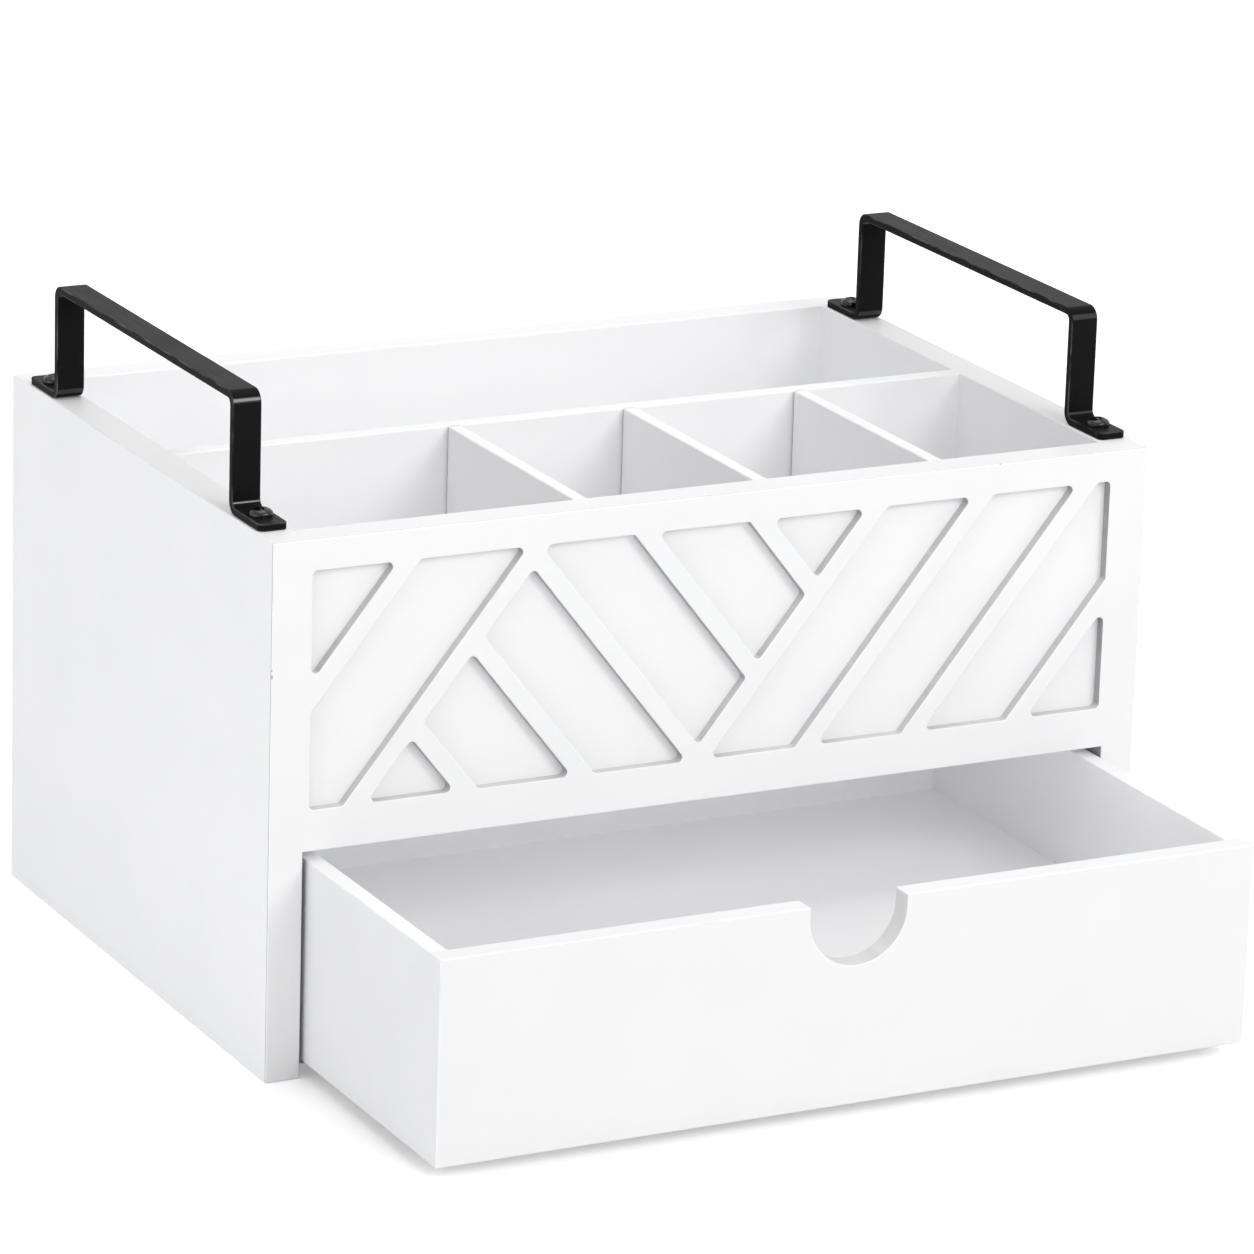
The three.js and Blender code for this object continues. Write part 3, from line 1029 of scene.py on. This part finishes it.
def cut_head(shape, centre, axis, offset):
    """Cuts the screw with an upright plane at the offset from its axis, on both sides."""
    normal = Vector((0, 0, 0))
    normal[axis] = 1
    for side in (-1, 1):
        bmesh.ops.bisect_plane(
            shape, geom=[*shape.verts, *shape.edges, *shape.faces],
            plane_co=centre + normal * side * offset, plane_no=normal, dist=CUT_SNAP,
        )


def is_in_cross(face, centre):
    """True if the face lies in one of the two arms of the cross."""
    place = face.calc_center_median() - centre
    nearer, farther = sorted((abs(place.x), abs(place.y)))
    return nearer < RECESS_HALF_WIDTH and farther < RECESS_HALF_LENGTH


def press_recess(shape, cross, centre, depth):
    """Pushes the faces down to the depth and draws them together."""
    sunk = bmesh.ops.extrude_face_region(shape, geom=with_rims(cross))["geom"]
    for part in sunk:
        if isinstance(part, bmesh.types.BMVert):
            part.co.x = centre.x + (part.co.x - centre.x) * RECESS_TAPER
            part.co.y = centre.y + (part.co.y - centre.y) * RECESS_TAPER
            part.co.z = depth
    bmesh.ops.recalc_face_normals(shape, faces=shape.faces)


def pan_head_screw(node):
    """One screw, turned, pressed and blackened."""
    shape, centre, top = turned_screw(node)
    for axis in (X, Y):
        cut_head(shape, centre, axis, RECESS_HALF_WIDTH)
        cut_head(shape, centre, axis, RECESS_HALF_LENGTH)
    seat = top - HEAD_HEIGHT
    dome = [
        face for face in shape.faces
        if face.normal.z > LOOKS_UP and face.calc_center_median().z > seat
    ]
    cross = [face for face in dome if is_in_cross(face, centre)]
    press_recess(shape, cross, centre, top - RECESS_DEPTH)
    print(node, "faces:", len(shape.faces), "in the recess:", len(cross))
    finish_piece(f"pan_head_{node}", shape, "cabinet", blackening, node)


for side in ("left", "right"):
    for end in ("front", "rear"):
        pan_head_screw(f"{side}_handle_{end}_screw")

# %% [markdown]
# ## Floor
#
# The box stands on a pale floor that looks white to the camera and still takes the shadow. A
# brighter colour alone can't do both. So a little glow is added for camera rays alone, which
# lights nothing. It is stronger in front, as if a card lay there, and far away, where floor and
# sky meet.

# %% Lay the floor
FLOOR_COLOUR = (0.88, 0.88, 0.885, 1)
FLOOR_REACH = 12
BELOW_THE_BOX = 0.0001
NEAR_GLOW = 0.28
FRONT_GLOW = 0.22
FRONT_GLOW_RANGE = (0.17, 0.23)
FAR_GLOW = 0.55
FAR_GLOW_RANGE = (0.25, 1.1)
BLACK = (0, 0, 0, 1)
WHITE = (1, 1, 1, 1)

floor_shape = bmesh.new()
bmesh.ops.create_grid(floor_shape, x_segments=1, y_segments=1, size=FLOOR_REACH)
bmesh.ops.translate(floor_shape, verts=floor_shape.verts, vec=(0, 0, -BELOW_THE_BOX))
floor_mesh = bpy.data.meshes.new("floor")
floor_shape.to_mesh(floor_mesh)
floor_shape.free()
floor = bpy.data.objects.new("floor", floor_mesh)
scene.collection.objects.link(floor)

floor_finish = Finish(bpy.data.materials.new("pale_floor"))
seen = floor_finish.node("ShaderNodeLightPath", output="Is Camera Ray")
spot = floor_finish.place()
reach = floor_finish.node("ShaderNodeVectorMath", {"operation": "LENGTH"}, {0: spot}, "Value")
away = floor_finish.step(reach, *FAR_GLOW_RANGE)
spot_y = floor_finish.node("ShaderNodeSeparateXYZ", None, {0: spot}, "Y")
in_front = floor_finish.step(0 - spot_y, *FRONT_GLOW_RANGE)
glow = seen * (NEAR_GLOW + in_front * FRONT_GLOW + away * (FAR_GLOW - NEAR_GLOW))
floor_finish.feed(floor_finish.tree.nodes["Principled BSDF"], {
    "Base Color": FLOOR_COLOUR,
    "Roughness": 1,
    "Specular IOR Level": 0,
    "Emission Color": floor_finish.blend(BLACK, WHITE, glow),
    "Emission Strength": 1,
})
floor_mesh.materials.append(floor_finish.owner)
print("floor is", round(floor.dimensions.x, 1), "m across")

# %% [markdown]
# ## Sky
#
# A pale sky stands in for the white walls of a studio. It lights the boards at a little over half
# its strength, or they would lose their shading. Looked at straight, in a gloss or through glass,
# it is plain white, like a paper backdrop.

# %% Hang the sky
SKY_LIGHT = 0.6
world = bpy.data.worlds.new("pale_sky")
scene.world = world
sky = Finish(world)
straight, glossy, through = [
    sky.node("ShaderNodeLightPath", output=f"Is {kind} Ray")
    for kind in ("Camera", "Glossy", "Transmission")
]
looked_at = straight.at_least(glossy).at_least(through)
sky.feed(world.node_tree.nodes["Background"], {
    "Color": WHITE,
    "Strength": SKY_LIGHT + looked_at * (1 - SKY_LIGHT),
})
print("sky light:", SKY_LIGHT)

# %% [markdown]
# ## Lamps
#
# White on white only reads if the light falls off gently from face to face. A wide lamp above
# lights the rims and the compartments. The main lamp at the front right gives the front its
# strength, a weaker one near the camera reaches into the drawer, and a low strip at the left lifts
# the left side without reaching down into the compartments.
#
# Light between white walls goes back and forth many times. With the few bounces that are usual,
# the compartments come out too dark, so the scene allows twelve.

# %% Place the lamps
MIDDLE = Vector((0, 0, 0.1))
WHITE_BOUNCES = 12


def soft_lamp(name, place, size, watts, colour=(1, 1, 1)):
    """A flat lamp of a width and a height that faces the middle of the box."""
    lamp = bpy.data.lights.new(name, "AREA")
    lamp.shape = "RECTANGLE"
    lamp.size, lamp.size_y = size
    lamp.energy = watts
    lamp.color = colour
    holder = bpy.data.objects.new(name, lamp)
    holder.location = place
    holder.rotation_euler = (MIDDLE - Vector(place)).to_track_quat("-Z", "Y").to_euler()
    scene.collection.objects.link(holder)


soft_lamp("top_lamp", place=(0, 0.1, 2.2), size=(1.6, 1.6), watts=15)
soft_lamp("main_lamp", place=(0.7, -1.75, 1.2), size=(0.8, 0.8), watts=12.8)
soft_lamp("camera_lamp", place=(-0.1, -2.2, 0.85), size=(0.8, 0.8), watts=5.6)
soft_lamp(
    "left_strip", place=(-1.6, -0.2, 0.09), size=(1.6, 0.15), watts=4.6, colour=(0.97, 0.985, 1)
)
scene.cycles.diffuse_bounces = WHITE_BOUNCES

# %% [markdown]
# ## Close the lesson
#
# The dressed box must be as large as the solids. The view transform is Standard, so that a colour
# shows as it was mixed.

# %% Finish
scene.view_settings.view_transform = "Standard"
